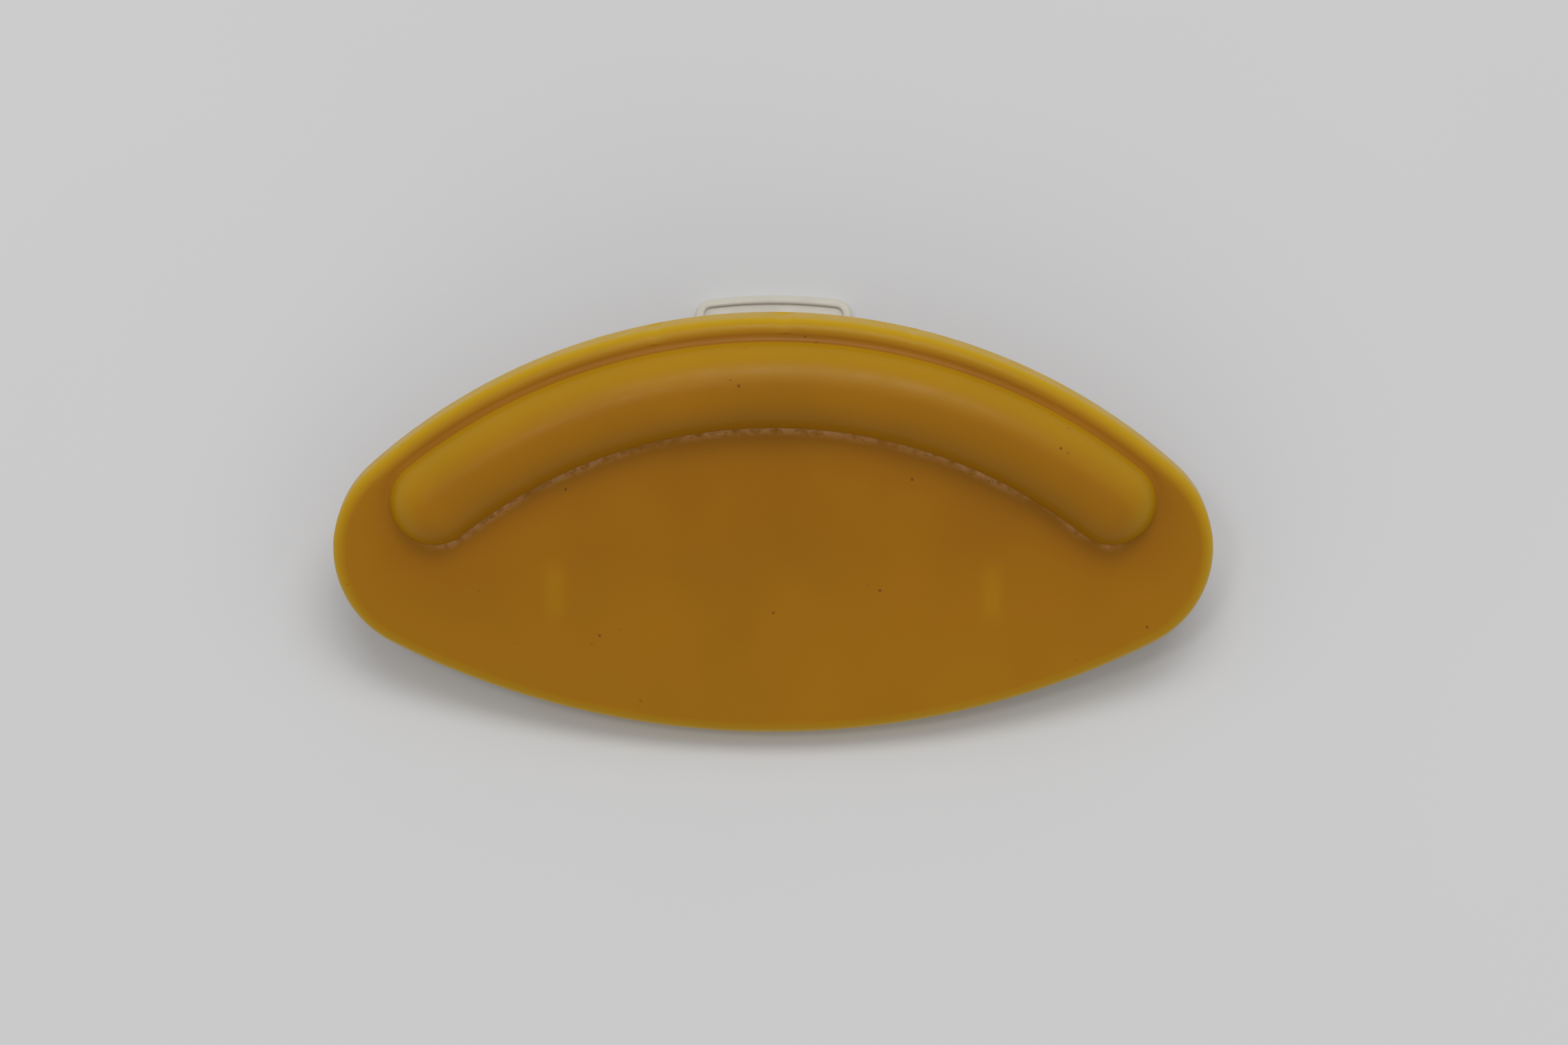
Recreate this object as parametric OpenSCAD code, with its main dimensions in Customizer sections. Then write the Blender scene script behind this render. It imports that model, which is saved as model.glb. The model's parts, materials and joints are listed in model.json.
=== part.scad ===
// Lip-shaped spring clip. A tray-like front jaw with an arched thumb ridge carries a steel hinge
// pin between two ears. A sprung lever turns on the pin: its upper end is the finger tab, its
// lower end the rear jaw, which closes inside the tray. The clip lies on the lever's flat back
// and on the front jaw's bottom edge. Millimetres, +Z up, origin under the middle of the clip.

/* [Front jaw] */
// Overall width of the front jaw
jaw_w = 130; // [112:1:156]
// Height of the top edge above the line through the end rounds
top_rise = 35; // [29:0.5:42]
// Depth of the bottom edge below that line
bottom_drop = 28; // [24:0.5:33]
// Radius of the end rounds
end_r = 16; // [13:0.5:18]
// Thickness of the face
face_t = 2; // [1.6:0.1:2.4]
// Depth of the tray, from the face to the free edge of its skirt
tray_depth = 6; // [5:0.1:7.2]
// Thickness of the skirt
skirt_t = 1.8; // [1.4:0.1:2.2]

/* [Thumb ridge] */
// Outer radius of the half-round ridge
ridge_r = 6.5; // [5.4:0.1:7.2]
// Depth of the ridge's centre line behind the face
ridge_sink = 0.5; // [0:0.1:1.2]
// Distance from the top edge of the jaw to the ridge's centre line
ridge_inset = 9.7; // [8.6:0.1:11.6]
// Distance from the side of the jaw to the centre of the ridge's round end
ridge_end_gap = 15.2; // [12.8:0.1:18.2]
// Wall of the hollow ridge
ridge_wall = 1.8; // [1.4:0.1:2.2]

/* [Hinge] */
// Height of the hinge axis above the bottom edge, along the face
hinge_up = 22; // [19:0.5:26]
// Gap from the back of the face to the spring coils round the hinge
coil_space = 1; // [0.8:0.1:1.2]
// Distance from the middle of the clip to the middle of each ear
ear_x = 32.3; // [27:0.1:38]
// Thickness of an ear
ear_t = 3; // [2.4:0.1:3.6]
// Width of an ear, which is also the diameter of its round end
ear_w = 8; // [6.8:0.1:9]
// Side gap between an ear and the cheek of the lever
ear_gap = 0.6; // [0.3:0.1:0.8]
// Diameter of the hinge pin
pin_d = 4; // [3.4:0.1:4.6]
// Radial clearance of the pin in its holes
pin_clear = 0.05; // [0.02:0.01:0.09]
// Radius of the pin's head
pin_head_r = 3.4; // [2.9:0.1:3.8]
// Thickness of the pin's head
pin_head_t = 1.2; // [0.8:0.1:1.6]
// Radius of the push-on retaining ring
ring_r = 3.8; // [3:0.1:3.9]
// Thickness of the retaining ring
ring_t = 0.8; // [0.5:0.1:1.2]

/* [Lever] */
// Wall thickness of the lever
web_t = 2.2; // [1.8:0.1:2.6]
// Distance from the hinge axis to the tip of the finger tab, along the lever
lever_reach = 46.1; // [40:0.1:54]
// Width of the finger tab at its tip
tab_w = 23.8; // [20:0.1:28]
// Length of the straight-sided finger tab
tab_len = 18; // [15:0.5:21]
// How much wider the tab is at its root than at its tip
tab_taper = 2.2; // [1:0.1:4]
// Radius of the curved tip
tip_r = 75; // [60:1:90]
// Radius of the tab's two corners
tab_corner_r = 2.5; // [2:0.1:3]
// Width of the raised bead round the tab
bead_w = 1.4; // [1:0.1:1.8]
// Height of that bead
bead_h = 0.8; // [0.5:0.1:1.2]
// Thickness of the lever's two side cheeks
cheek_t = 2.8; // [2.2:0.1:3.2]
// Radius of a cheek round the hinge pin
cheek_r = 4.2; // [3.6:0.1:4.6]
// Height of the stiffening ribs on the lever
rib_h = 2.4; // [1.6:0.1:3]
// Thickness of the stiffening ribs
rib_t = 1.5; // [1.2:0.1:2]

/* [Rear jaw bar and pads] */
// Length of the rear jaw bar along the clip, between its end rounds
bar_len = 78; // [66:1:92]
// Width of the rear jaw bar, across its length
bar_w = 7; // [6:0.1:8]
// Thickness of the rear jaw bar
bar_t = 2.6; // [2.4:0.1:2.8]
// Gap from the skirt to the rear jaw bar
bar_gap = 1.6; // [1.4:0.1:2]
// Width of the soft pads
pad_w = 4.6; // [3.8:0.1:5.4]
// Thickness of each soft pad
pad_t = 1.5; // [1.2:0.1:1.8]
// Depth of the grooves in the pads
groove_d = 0.6; // [0.3:0.1:0.8]

/* [Springs] */
// Diameter of the spring wire
wire_d = 1.6; // [1.3:0.1:1.9]
// Radius of the coil, to the middle of the wire
coil_r = 5.2; // [4.4:0.1:6.2]
// Number of whole turns in each coil
coil_turns = 5; // [4:1:6]
// Gap between the turns
coil_gap = 0.12; // [0.05:0.01:0.3]
// Distance from the middle of the clip to the start of each coil
coil_start = 7.4; // [6.6:0.1:9]
// Length of each spring's straight legs
leg_len = 15; // [12.5:0.5:16]
// Clearance of the legs from what they press on
leg_clear = 0.2; // [0.1:0.05:0.3]

/* [Hidden] */
$fn = 96;
EPS = 0.01;
FAR = 4 * jaw_w;
// How far a cutting shape runs past what it cuts
past = 1;

// Outline of the front jaw: two large arcs that run smoothly into the end rounds
end_x = jaw_w / 2 - end_r;
function lens_r(rise) = (end_x * end_x + rise * rise - end_r * end_r) / (2 * (rise - end_r));
top_r = lens_r(top_rise);
bottom_r = lens_r(bottom_drop);
top_cy = top_rise - top_r;
bottom_cy = bottom_r - bottom_drop;
top_dir = atan2(-top_cy, end_x);
bottom_dir = atan2(-bottom_cy, end_x);

// Thumb ridge, concentric with the top edge
ridge_line_r = top_r - ridge_inset;
ridge_half = asin((jaw_w / 2 - ridge_end_gap) / ridge_line_r);

// Hinge axis in the front jaw's own frame: x along the clip, y up the face, z out of the face
hinge_y = hinge_up - bottom_drop;
hinge_back = face_t + coil_space + wire_d / 2 + coil_r;
pin_r = pin_d / 2;
ear_out = ear_x + ear_t / 2;
cheek_out = ear_x - ear_t / 2 - ear_gap;
cheek_in = cheek_out - cheek_t;

// The lever's back clears the coils, and sets how far the face leans back at rest
web_back = coil_r + wire_d / 2 + leg_clear + web_t;
web_mid = web_back - web_t / 2;
// Length by which the lever's straight walls run into the curved one between them
lap = 1;
skirt_behind = hinge_back - tray_depth;
lean = atan2(skirt_behind, hinge_up) + asin(web_back / norm([hinge_up, skirt_behind]));

// Front to back size of the clip at rest, which sets the hinge's place over the origin
rim_front = -hinge_up * cos(lean) - hinge_back * sin(lean);
hinge_at_y = -(lever_reach + rim_front) / 2;

// Rear jaw bar and pads, in the face's directions with the hinge axis as origin
pad_back = face_t + 2 * pad_t;
bar_front = hinge_back - pad_back;
bar_mid = bar_front - bar_t / 2;
bar_out_r = bottom_r - skirt_t - bar_gap;
bar_line_r = bar_out_r - bar_w / 2;
bar_half = asin(bar_len / 2 / bar_line_r);
bar_top_u = skirt_t + bar_gap + bar_w - hinge_up;

// The lower wall leaves the curved wall round the coils at a tangent and ends inside the bar
knee = [bar_top_u - web_t / 2, bar_mid];
wrap_dir = atan2(knee.y, knee.x) + acos(web_mid / norm(knee));
wrap = web_mid * [cos(wrap_dir), sin(wrap_dir)];

// Directions in which a cheek's straight edges leave its round end
cheek_front_dir = 50;
cheek_back_dir = 120;

// Finger tab: where its straight sides begin, and the sweep out from there to the full width
tab_root_y = lever_reach - tab_len;
tab_root_x = (tab_w + tab_taper) / 2;
sweep_r = cheek_out - tab_root_x;
cheek_len = tab_root_y - sweep_r;

// Grooves across the back of the tab
grip_count = 5;
grip_pitch = 2.6;
grip_w = 1.2;
grip_depth = 0.5;
grip_from_tip = 5;
grip_from_side = 4;

// Pin and retaining ring
pin_stub = 1.8;
ring_clear = 0.02;

// Springs
coil_pitch = wire_d + coil_gap;
coil_sweep = 360 * coil_turns + 180 - lean;
coil_len = coil_pitch * coil_sweep / 360;
spool_gap = 0.8;
spool_end_gap = 0.3;
spool_r = coil_r - wire_d / 2 - spool_gap;
collar_r = coil_r + wire_d / 4;
collar_t = 1.4;
spool_half = cheek_in - spool_end_gap;
seat_h = coil_space - leg_clear / 4;
seat_w = 3 * wire_d;
seat_len = 6;
leg_past_seat = 1;

// --- places -------------------------------------------------------------------------------

// Puts what is drawn round the hinge axis, level with the ground, at its place in the clip
module at_hinge() {
    translate([0, hinge_at_y, web_back]) children();
}

// The same for what is drawn round the hinge axis in the directions of the leaning face
module along_face() {
    at_hinge() rotate([lean, 0, 0]) children();
}

// The same for what is drawn in the front jaw's own frame
module in_front_jaw() {
    along_face() translate([0, -hinge_y, hinge_back]) children();
}

// Draws a side view (y to the right, z up) as a slab between two places along the clip
module slab(x0, x1) {
    translate([x0, 0, 0]) rotate([90, 0, 90]) linear_extrude(x1 - x0) children();
}

function flip(p) = [-p.x, p.y];

module both_sides() {
    children();
    mirror([1, 0, 0]) children();
}

// --- front jaw ----------------------------------------------------------------------------

// The area between the radii that meet the end rounds, where the large arcs bound the jaw
module arc_area() {
    side = [end_x, 0];
    top = side + FAR * [cos(top_dir), sin(top_dir)];
    low = side + FAR * [cos(bottom_dir), sin(bottom_dir)];
    polygon([side, top, flip(top), flip(side), flip(low), low]);
}

// The jaw's outline, drawn in by inset, as a block from z = -depth up to z = 0
module jaw_block(inset, depth) {
    translate([0, 0, -depth]) {
        intersection() {
            translate([0, top_cy, 0]) cylinder(r = top_r - inset, h = depth);
            translate([0, bottom_cy, 0]) cylinder(r = bottom_r - inset, h = depth);
            linear_extrude(depth) arc_area();
        }
        both_sides() translate([end_x, 0, 0]) cylinder(r = end_r - inset, h = depth);
    }
}

// Section of the ridge: a half round standing on a block that reaches down to z = -low
module ridge_section(r, low) {
    intersection() {
        translate([0, -ridge_sink]) circle(r = r);
        translate([-r, -ridge_sink]) square([2 * r, 2 * r]);
    }
    translate([-r, -low]) square([2 * r, low - ridge_sink + EPS]);
}

// The arched ridge with round ends, down to z = -low
module ridge_form(r, low) {
    translate([0, top_cy, 0]) rotate([0, 0, 90 - ridge_half])
        rotate_extrude(angle = 2 * ridge_half)
            translate([ridge_line_r, 0]) ridge_section(r, low);
    both_sides()
        translate([0, top_cy, 0]) rotate([0, 0, 90 - ridge_half]) translate([ridge_line_r, 0, 0])
            rotate([0, 0, 180]) rotate_extrude(angle = 180)
                intersection() {
                    ridge_section(r, low);
                    translate([0, -2 * r]) square([r, 4 * r]);
                }
}

// Side view of an ear: a tongue from the back of the face, round about the hinge axis
module ear_side() {
    translate([hinge_y, -hinge_back]) circle(r = ear_w / 2);
    translate([hinge_y - ear_w / 2, -hinge_back])
        square([ear_w, hinge_back - face_t / 2]);
}

// A raised seat with a groove, which a spring's front leg presses on
module spring_seat() {
    translate([coil_start, hinge_y + leg_len - leg_past_seat - seat_len / 2, -face_t])
        difference() {
            translate([-seat_w / 2, -seat_len / 2, -seat_h - wire_d / 2])
                cube([seat_w, seat_len, seat_h + wire_d / 2 + EPS]);
            translate([-wire_d / 2 - leg_clear, -seat_len / 2 - past, -seat_h - wire_d])
                cube([wire_d + 2 * leg_clear, seat_len + 2 * past, wire_d]);
        }
}

module front_jaw() {
    color("goldenrod") in_front_jaw()
        difference() {
            union() {
                difference() {
                    union() {
                        jaw_block(0, tray_depth);
                        ridge_form(ridge_r, face_t / 2);
                    }
                    translate([0, 0, -face_t]) jaw_block(skirt_t, tray_depth);
                    ridge_form(ridge_r - ridge_wall, face_t + EPS);
                }
                both_sides() {
                    slab(ear_x - ear_t / 2, ear_out) ear_side();
                    spring_seat();
                }
            }
            slab(-ear_out - past, ear_out + past)
                translate([hinge_y, -hinge_back]) circle(r = pin_r + pin_clear);
        }
}

// --- jaw pads -----------------------------------------------------------------------------

// A strip along the bottom arc, centred on a line of the given radius, with round ends
module arc_strip(line_r, width, half) {
    end_dir = [sin(half), -cos(half)];
    intersection() {
        difference() {
            circle(r = line_r + width / 2);
            circle(r = line_r - width / 2);
        }
        polygon([[0, 0], FAR * end_dir, [0, -2 * FAR], FAR * flip(end_dir)]);
    }
    translate(line_r * end_dir) circle(r = width / 2);
    translate(line_r * flip(end_dir)) circle(r = width / 2);
}

// A soft pad between two depths behind the face, with two grooves in one of its faces
module pad(front, back, groove_at) {
    in_front_jaw() translate([0, bottom_cy, -back])
        difference() {
            linear_extrude(back - front) arc_strip(bar_line_r, pad_w, bar_half);
            for (s = [-1, 1])
                translate([0, 0, groove_at])
                    linear_extrude(2 * groove_d, center = true)
                        arc_strip(bar_line_r + s * pad_w / 6, pad_w / 6, bar_half);
        }
}

module front_pad() {
    color("dimgray") pad(face_t, face_t + pad_t, 0);
}

module rear_pad() {
    color("dimgray") pad(face_t + pad_t, pad_back, pad_t);
}

// --- lever --------------------------------------------------------------------------------

// Side view of the wall that runs round the coils and down to the rear jaw bar
module lower_web_side() {
    rotate(lean)
        translate(wrap) rotate(wrap_dir - 90)
            translate([-lap, -web_t / 2]) square([norm(knee - wrap) + lap, web_t]);
    intersection() {
        difference() {
            circle(r = web_back);
            circle(r = web_back - web_t);
        }
        polygon([[0, 0], FAR * [cos(wrap_dir + lean), sin(wrap_dir + lean)], [0, -FAR]]);
    }
}

// Plan of the finger tab, drawn in by inset: tapered sides, round corners and a curved tip
module tab_plan(inset = 0) {
    centre = [0, lever_reach - tip_r];
    corner_x = tab_w / 2 - tab_corner_r;
    corner = centre + [corner_x, sqrt(pow(tip_r - tab_corner_r, 2) - pow(corner_x, 2))];
    beyond = corner + 0.2 * (corner - centre);
    side = [corner_x + tab_corner_r - inset, corner.y];
    root = [tab_root_x - inset, tab_root_y - EPS];
    intersection() {
        translate(centre) circle(r = tip_r - inset);
        polygon([[0, tab_root_y], corner, beyond, flip(beyond), flip(corner)]);
    }
    for (s = [-1, 1]) translate([s * corner.x, corner.y]) circle(r = tab_corner_r - inset);
    polygon([root, side, flip(side), flip(root)]);
}

// Plan of the lever's arm: as wide as the cheeks at the hinge, swept in to the finger tab
module arm_plan() {
    difference() {
        translate([-cheek_out, -lap]) square([2 * cheek_out, tab_root_y + lap]);
        for (s = [-1, 1]) translate([s * cheek_out, tab_root_y]) circle(r = sweep_r);
    }
    tab_plan();
}

// Side view of a cheek, from the jaw side of the pin to the arm
module cheek_side() {
    circle(r = cheek_r);
    polygon([cheek_r * [cos(cheek_front_dir), sin(cheek_front_dir)], [cheek_len, -web_mid],
             [0, -web_mid], [-pin_r, 0]]);
    rotate(lean) {
        polygon([cheek_r * [cos(cheek_back_dir), sin(cheek_back_dir)], [bar_top_u, bar_mid],
                 wrap, [0, 0]]);
        polygon([[0, 0], wrap, web_mid * [cos(-90 - lean), sin(-90 - lean)]]);
    }
}

// Raised bead round the finger tab, on the side that faces the front jaw
module tab_bead() {
    translate([0, 0, -web_back + web_t - EPS])
        linear_extrude(bead_h + EPS)
            difference() {
                tab_plan();
                tab_plan(bead_w);
            }
}

// Stiffening ribs along the arm, clear of the spool and the spring legs
module arm_ribs() {
    start = web_back - web_t;
    low = -start - EPS;
    top = low + rib_h + EPS;
    side_x = coil_start + coil_len + wire_d + rib_t;
    edge_y = tab_root_y - sqrt(pow(sweep_r, 2) - pow(cheek_out - side_x - rib_t, 2));
    slab(-rib_t / 2, rib_t / 2)
        polygon([[start, low], [start, top], [tab_root_y - rib_h, top], [tab_root_y + rib_h, low]]);
    both_sides()
        slab(side_x, side_x + rib_t)
            polygon([[start, low], [start, top], [edge_y, low]]);
}

// Shallow grip grooves across the back of the finger tab
module grip_grooves() {
    for (i = [0 : grip_count - 1])
        translate([0, lever_reach - grip_from_tip - grip_pitch * i, -web_back])
            cube([tab_w - 2 * grip_from_side, grip_w, 2 * grip_depth], center = true);
}

module rear_jaw() {
    color("ivory") {
        difference() {
            at_hinge() {
                translate([0, 0, -web_back]) linear_extrude(web_t) arm_plan();
                slab(-cheek_out, cheek_out) lower_web_side();
                both_sides() slab(cheek_in, cheek_out) cheek_side();
                tab_bead();
                arm_ribs();
            }
            at_hinge() {
                slab(-cheek_out - past, cheek_out + past) circle(r = pin_r + pin_clear);
                grip_grooves();
            }
        }
        in_front_jaw() translate([0, bottom_cy, -pad_back - bar_t])
            linear_extrude(bar_t) arc_strip(bar_line_r, bar_w, bar_half);
    }
}

// --- hinge pin and what holds it ------------------------------------------------------------

module hinge_pin() {
    color("silver") at_hinge() {
        slab(-ear_out, ear_out + ring_t + pin_stub) circle(r = pin_r);
        slab(-ear_out - pin_head_t, -ear_out) circle(r = pin_head_r);
    }
}

module pin_retainer() {
    color("darkgray") at_hinge()
        slab(ear_out, ear_out + ring_t)
            difference() {
                circle(r = ring_r);
                circle(r = pin_r + ring_clear);
            }
}

// --- springs --------------------------------------------------------------------------------

// A sleeve on the pin that carries the coils, with a collar at each end of each coil
module spring_spool() {
    coil_end = coil_start + coil_len;
    color("gainsboro") at_hinge()
        difference() {
            union() {
                slab(-spool_half, spool_half) circle(r = spool_r);
                slab(-coil_start + wire_d, coil_start - wire_d) circle(r = collar_r);
                both_sides()
                    slab(coil_end + wire_d, coil_end + wire_d + collar_t) circle(r = collar_r);
            }
            slab(-spool_half - past, spool_half + past) circle(r = pin_r + pin_clear);
        }
}

// Middle line of the right-hand spring, round the hinge axis in the directions of the face.
// Each entry is [x along the clip, y, z, the angle at which its ring of points stands].
COIL_STEPS = 20;
WIRE_SIDES = 8;
function spring_line() =
    let (steps = round(COIL_STEPS * coil_sweep / 360), last = 90 + coil_sweep,
         tail = leg_len * [-sin(last), cos(last)])
    concat(
        [[coil_start, leg_len, coil_r, 90]],
        [for (i = [0 : steps])
            let (a = 90 + coil_sweep * i / steps)
            [coil_start + coil_len * i / steps, coil_r * cos(a), coil_r * sin(a), a]],
        [[coil_start + coil_len, coil_r * cos(last) + tail.x, coil_r * sin(last) + tail.y, last]]
    );

// A round wire along that line
module wire(line) {
    ring = WIRE_SIDES;
    count = len(line);
    points = [for (p = line, k = [0 : ring - 1])
        let (a = 360 * k / ring, out = wire_d / 2 * cos(a))
        [p[0] + wire_d / 2 * sin(a), p[1] + out * cos(p[3]), p[2] + out * sin(p[3])]];
    sides = [for (i = [0 : count - 2], k = [0 : ring - 1])
        let (n = (k + 1) % ring)
        [i * ring + k, i * ring + n, (i + 1) * ring + n, (i + 1) * ring + k]];
    ends = [[for (k = [ring - 1 : -1 : 0]) k],
            [for (k = [0 : ring - 1]) (count - 1) * ring + k]];
    polyhedron(points, concat(sides, ends), convexity = 6);
}

module spring_right() {
    color("lightsteelblue") along_face() wire(spring_line());
}

module spring_left() {
    color("lightsteelblue") mirror([1, 0, 0]) along_face() wire(spring_line());
}

front_jaw();
front_pad();
rear_jaw();
rear_pad();
hinge_pin();
pin_retainer();
spring_spool();
spring_left();
spring_right();
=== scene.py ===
"""Lip-shaped spring clip: moulded front jaw with an arched thumb ridge, sprung lever behind it.

Run as a script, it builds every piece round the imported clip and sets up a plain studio.
Metres, +Z up. The front jaw is modelled in its own frame (x along the clip, y up the face,
z out of the face) and then leaned back about the hinge; the lever is modelled round the hinge
axis, level with the ground.
"""

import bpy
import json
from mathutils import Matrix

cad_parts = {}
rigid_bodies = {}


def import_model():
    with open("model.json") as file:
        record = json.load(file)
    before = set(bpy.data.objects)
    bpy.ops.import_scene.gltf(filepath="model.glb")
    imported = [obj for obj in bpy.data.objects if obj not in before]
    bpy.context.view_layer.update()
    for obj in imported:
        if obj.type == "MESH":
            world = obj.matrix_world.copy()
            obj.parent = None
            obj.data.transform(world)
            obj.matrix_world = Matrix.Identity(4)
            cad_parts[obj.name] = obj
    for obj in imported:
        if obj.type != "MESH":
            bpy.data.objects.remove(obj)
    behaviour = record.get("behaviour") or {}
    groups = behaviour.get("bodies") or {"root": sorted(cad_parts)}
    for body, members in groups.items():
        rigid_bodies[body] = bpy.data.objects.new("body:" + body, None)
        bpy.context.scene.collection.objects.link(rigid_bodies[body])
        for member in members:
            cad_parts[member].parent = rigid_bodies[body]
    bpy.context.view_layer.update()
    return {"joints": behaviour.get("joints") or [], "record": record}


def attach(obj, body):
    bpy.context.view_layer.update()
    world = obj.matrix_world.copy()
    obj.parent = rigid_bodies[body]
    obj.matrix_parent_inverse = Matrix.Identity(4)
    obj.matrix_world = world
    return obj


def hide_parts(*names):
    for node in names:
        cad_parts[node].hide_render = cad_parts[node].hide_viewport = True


bl_info = {
    "name": "Lip-shaped spring clip",
    "version": (1, 0, 0),
    "blender": (4, 5, 0),
    "location": "3D View > Sidebar > Spring clip",
    "description": "Builds a moulded spring clip, its lever, pads, hinge and springs",
    "category": "Object",
}

import json
import math

import bmesh
import bpy
from bmesh.types import BMEdge, BMFace, BMVert
from mathutils import Matrix, Vector, noise

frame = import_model()

MM = 0.001
NEAR = 1e-7  # places closer than this count as one
WELD = 3e-6  # doubled vertices closer than this are merged
SINK = 0.3 * MM  # how deep a rib or bead is sunk in the wall it stands on
CREASE = 35  # degrees between two faces, past which an edge is drawn sharp
ROUND_STEPS = 20  # faces round the end of a bar
JOINT = next(j for j in frame["joints"] if j["name"] == "lever_hinge")
MOUTH = next(m for m in frame["record"]["mounts"] if m["name"] == "mouth")
HINGE = Vector(JOINT["pos_m"])
LEAN = math.atan2(-MOUTH["axis"][2], -MOUTH["axis"][1])
FRONT, REAR = JOINT["parent"], JOINT["child"]


# --- sizes and colours ---------------------------------------------------------------------


def size(name, description, mm):
    """A length property whose default is given in millimetres."""
    return bpy.props.FloatProperty(
        name=name, description=description, default=mm * MM, min=0, unit="LENGTH", precision=5
    )


def colour(name, description, rgb):
    """A colour property, in scene-linear values."""
    return bpy.props.FloatVectorProperty(
        name=name, description=description, default=rgb, size=3, min=0, max=1, subtype="COLOR"
    )


def share(name, description, value):
    """A plain number from 0 to 1."""
    return bpy.props.FloatProperty(
        name=name, description=description, default=value, min=0, max=1, subtype="FACTOR"
    )


class FrontJawSizes(bpy.types.PropertyGroup):
    """Sizes of the moulded front jaw"""

    width: size("Width", "Overall width of the jaw", 130)
    top_rise: size("Top rise", "Top edge above the line through the end rounds", 35)
    bottom_drop: size("Bottom drop", "Bottom edge below that line", 28)
    end_r: size("End radius", "Radius of the end rounds", 16)
    face_t: size("Face thickness", "Thickness of the face", 2)
    depth: size("Tray depth", "From the face to the free edge of the skirt", 6)
    skirt_t: size("Skirt thickness", "Thickness of the skirt at its root", 1.8)
    skirt_edge_t: size("Skirt edge", "Thickness of the skirt at its free edge", 1.4)
    rim_round: size("Rim round", "Radius between the face and the skirt", 1.9)
    inner_round: size("Inner round", "Radius inside the tray's corner", 0.7)
    ridge_r: size("Ridge radius", "Outer radius of the thumb ridge", 6.5)
    ridge_sink: size("Ridge sink", "Depth of the ridge's centre line behind the face", 0.5)
    ridge_inset: size("Ridge inset", "From the top edge to the ridge's centre line", 9.7)
    ridge_end_gap: size("Ridge end gap", "From the jaw's side to the ridge's round end", 15.2)
    ridge_wall: size("Ridge wall", "Wall of the hollow ridge", 1.8)
    ridge_fillet: size("Ridge fillet", "Radius at the ridge's outer foot, by the rim", 1.2)
    ridge_crisp: size("Ridge inner fillet", "Radius at the ridge's inner foot", 0.35)
    hinge_up: size("Hinge height", "Hinge axis above the bottom edge, along the face", 22)
    hinge_back: size("Hinge depth", "Hinge axis behind the face", 9)
    ear_x: size("Ear place", "From the middle to the middle of each ear", 32.3)
    ear_t: size("Ear thickness", "Thickness of an ear", 3)
    ear_w: size("Ear width", "Width of an ear", 8)
    nick: size("Nick depth", "Depth of the small nicks in the top edge", 0.22)


class LeverSizes(bpy.types.PropertyGroup):
    """Sizes of the lever, the rear jaw bar and the pads"""

    web_t: size("Wall", "Wall thickness of the lever", 2.2)
    web_back: size("Back", "Distance from the hinge axis to the lever's flat back", 8.4)
    reach: size("Reach", "From the hinge axis to the tip of the finger tab", 46.1)
    tab_w: size("Tab width", "Width of the finger tab at its tip", 23.8)
    tab_len: size("Tab length", "Length of the straight-sided finger tab", 18)
    tab_taper: size("Tab taper", "How much wider the tab is at its root", 2.2)
    tip_r: size("Tip radius", "Radius of the curved tip", 75)
    corner_r: size("Corner radius", "Radius of the tab's corners", 2.5)
    bead_w: size("Bead width", "Width of the raised bead round the tab", 1.4)
    bead_h: size("Bead height", "Height of the raised bead", 0.45)
    cheek_t: size("Cheek thickness", "Thickness of the side cheeks", 2.8)
    cheek_r: size("Cheek radius", "Radius of a cheek round the pin", 4.2)
    ear_gap: size("Ear gap", "Side gap between an ear and a cheek", 0.6)
    rib_h: size("Rib height", "Height of the stiffening ribs", 2.4)
    rib_t: size("Rib thickness", "Thickness of the stiffening ribs", 1.5)
    groove_pitch: size("Groove pitch", "Distance between the grip grooves", 2.6)
    groove_w: size("Groove width", "Width of a grip groove", 1.2)
    groove_d: size("Groove depth", "Depth of a grip groove", 0.45)
    groove_tip: size("Groove place", "From the tab's tip to the first groove", 5)
    groove_side: size("Groove margin", "From the tab's side to a groove's end", 4)
    bar_len: size("Bar length", "Rear jaw bar between its end rounds", 78)
    bar_w: size("Bar width", "Width of the rear jaw bar", 7)
    bar_t: size("Bar thickness", "Thickness of the rear jaw bar", 2.6)
    bar_gap: size("Bar gap", "Gap from the skirt to the rear jaw bar", 1.6)
    pad_w: size("Pad width", "Width of the soft pads", 4.6)
    pad_t: size("Pad thickness", "Thickness of each soft pad", 1.5)
    pad_groove: size("Pad groove", "Depth of the pads' grooves", 0.5)


class HingeSizes(bpy.types.PropertyGroup):
    """Sizes of the pin, the ring, the spool and the springs"""

    pin_r: size("Pin radius", "Radius of the hinge pin", 2)
    pin_play: size("Pin play", "Radial clearance of the pin in its holes", 0.05)
    head_r: size("Head radius", "Radius of the pin's head", 3.4)
    head_t: size("Head thickness", "Thickness of the pin's head", 1.2)
    ring_r: size("Ring radius", "Radius of the push-on ring", 3.8)
    ring_t: size("Ring thickness", "Thickness of the dished ring", 0.8)
    stub: size("Pin stub", "How far the pin stands out past the ring", 1.8)
    wire_d: size("Wire", "Diameter of the spring wire", 1.6)
    coil_r: size("Coil radius", "Radius of the coil to the middle of the wire", 5.2)
    coil_gap: size("Coil gap", "Gap between the turns", 0.12)
    coil_start: size("Coil start", "From the middle of the clip to each coil", 7.4)
    leg: size("Leg", "Length of each spring leg", 15)
    spool_gap: size("Spool gap", "Gap between the spool and the coils", 0.8)
    collar_t: size("Collar", "Thickness of the spool's end collars", 1.4)
    coil_turns: bpy.props.IntProperty(
        name="Turns", description="Whole turns in each coil", default=5, min=1
    )


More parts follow.
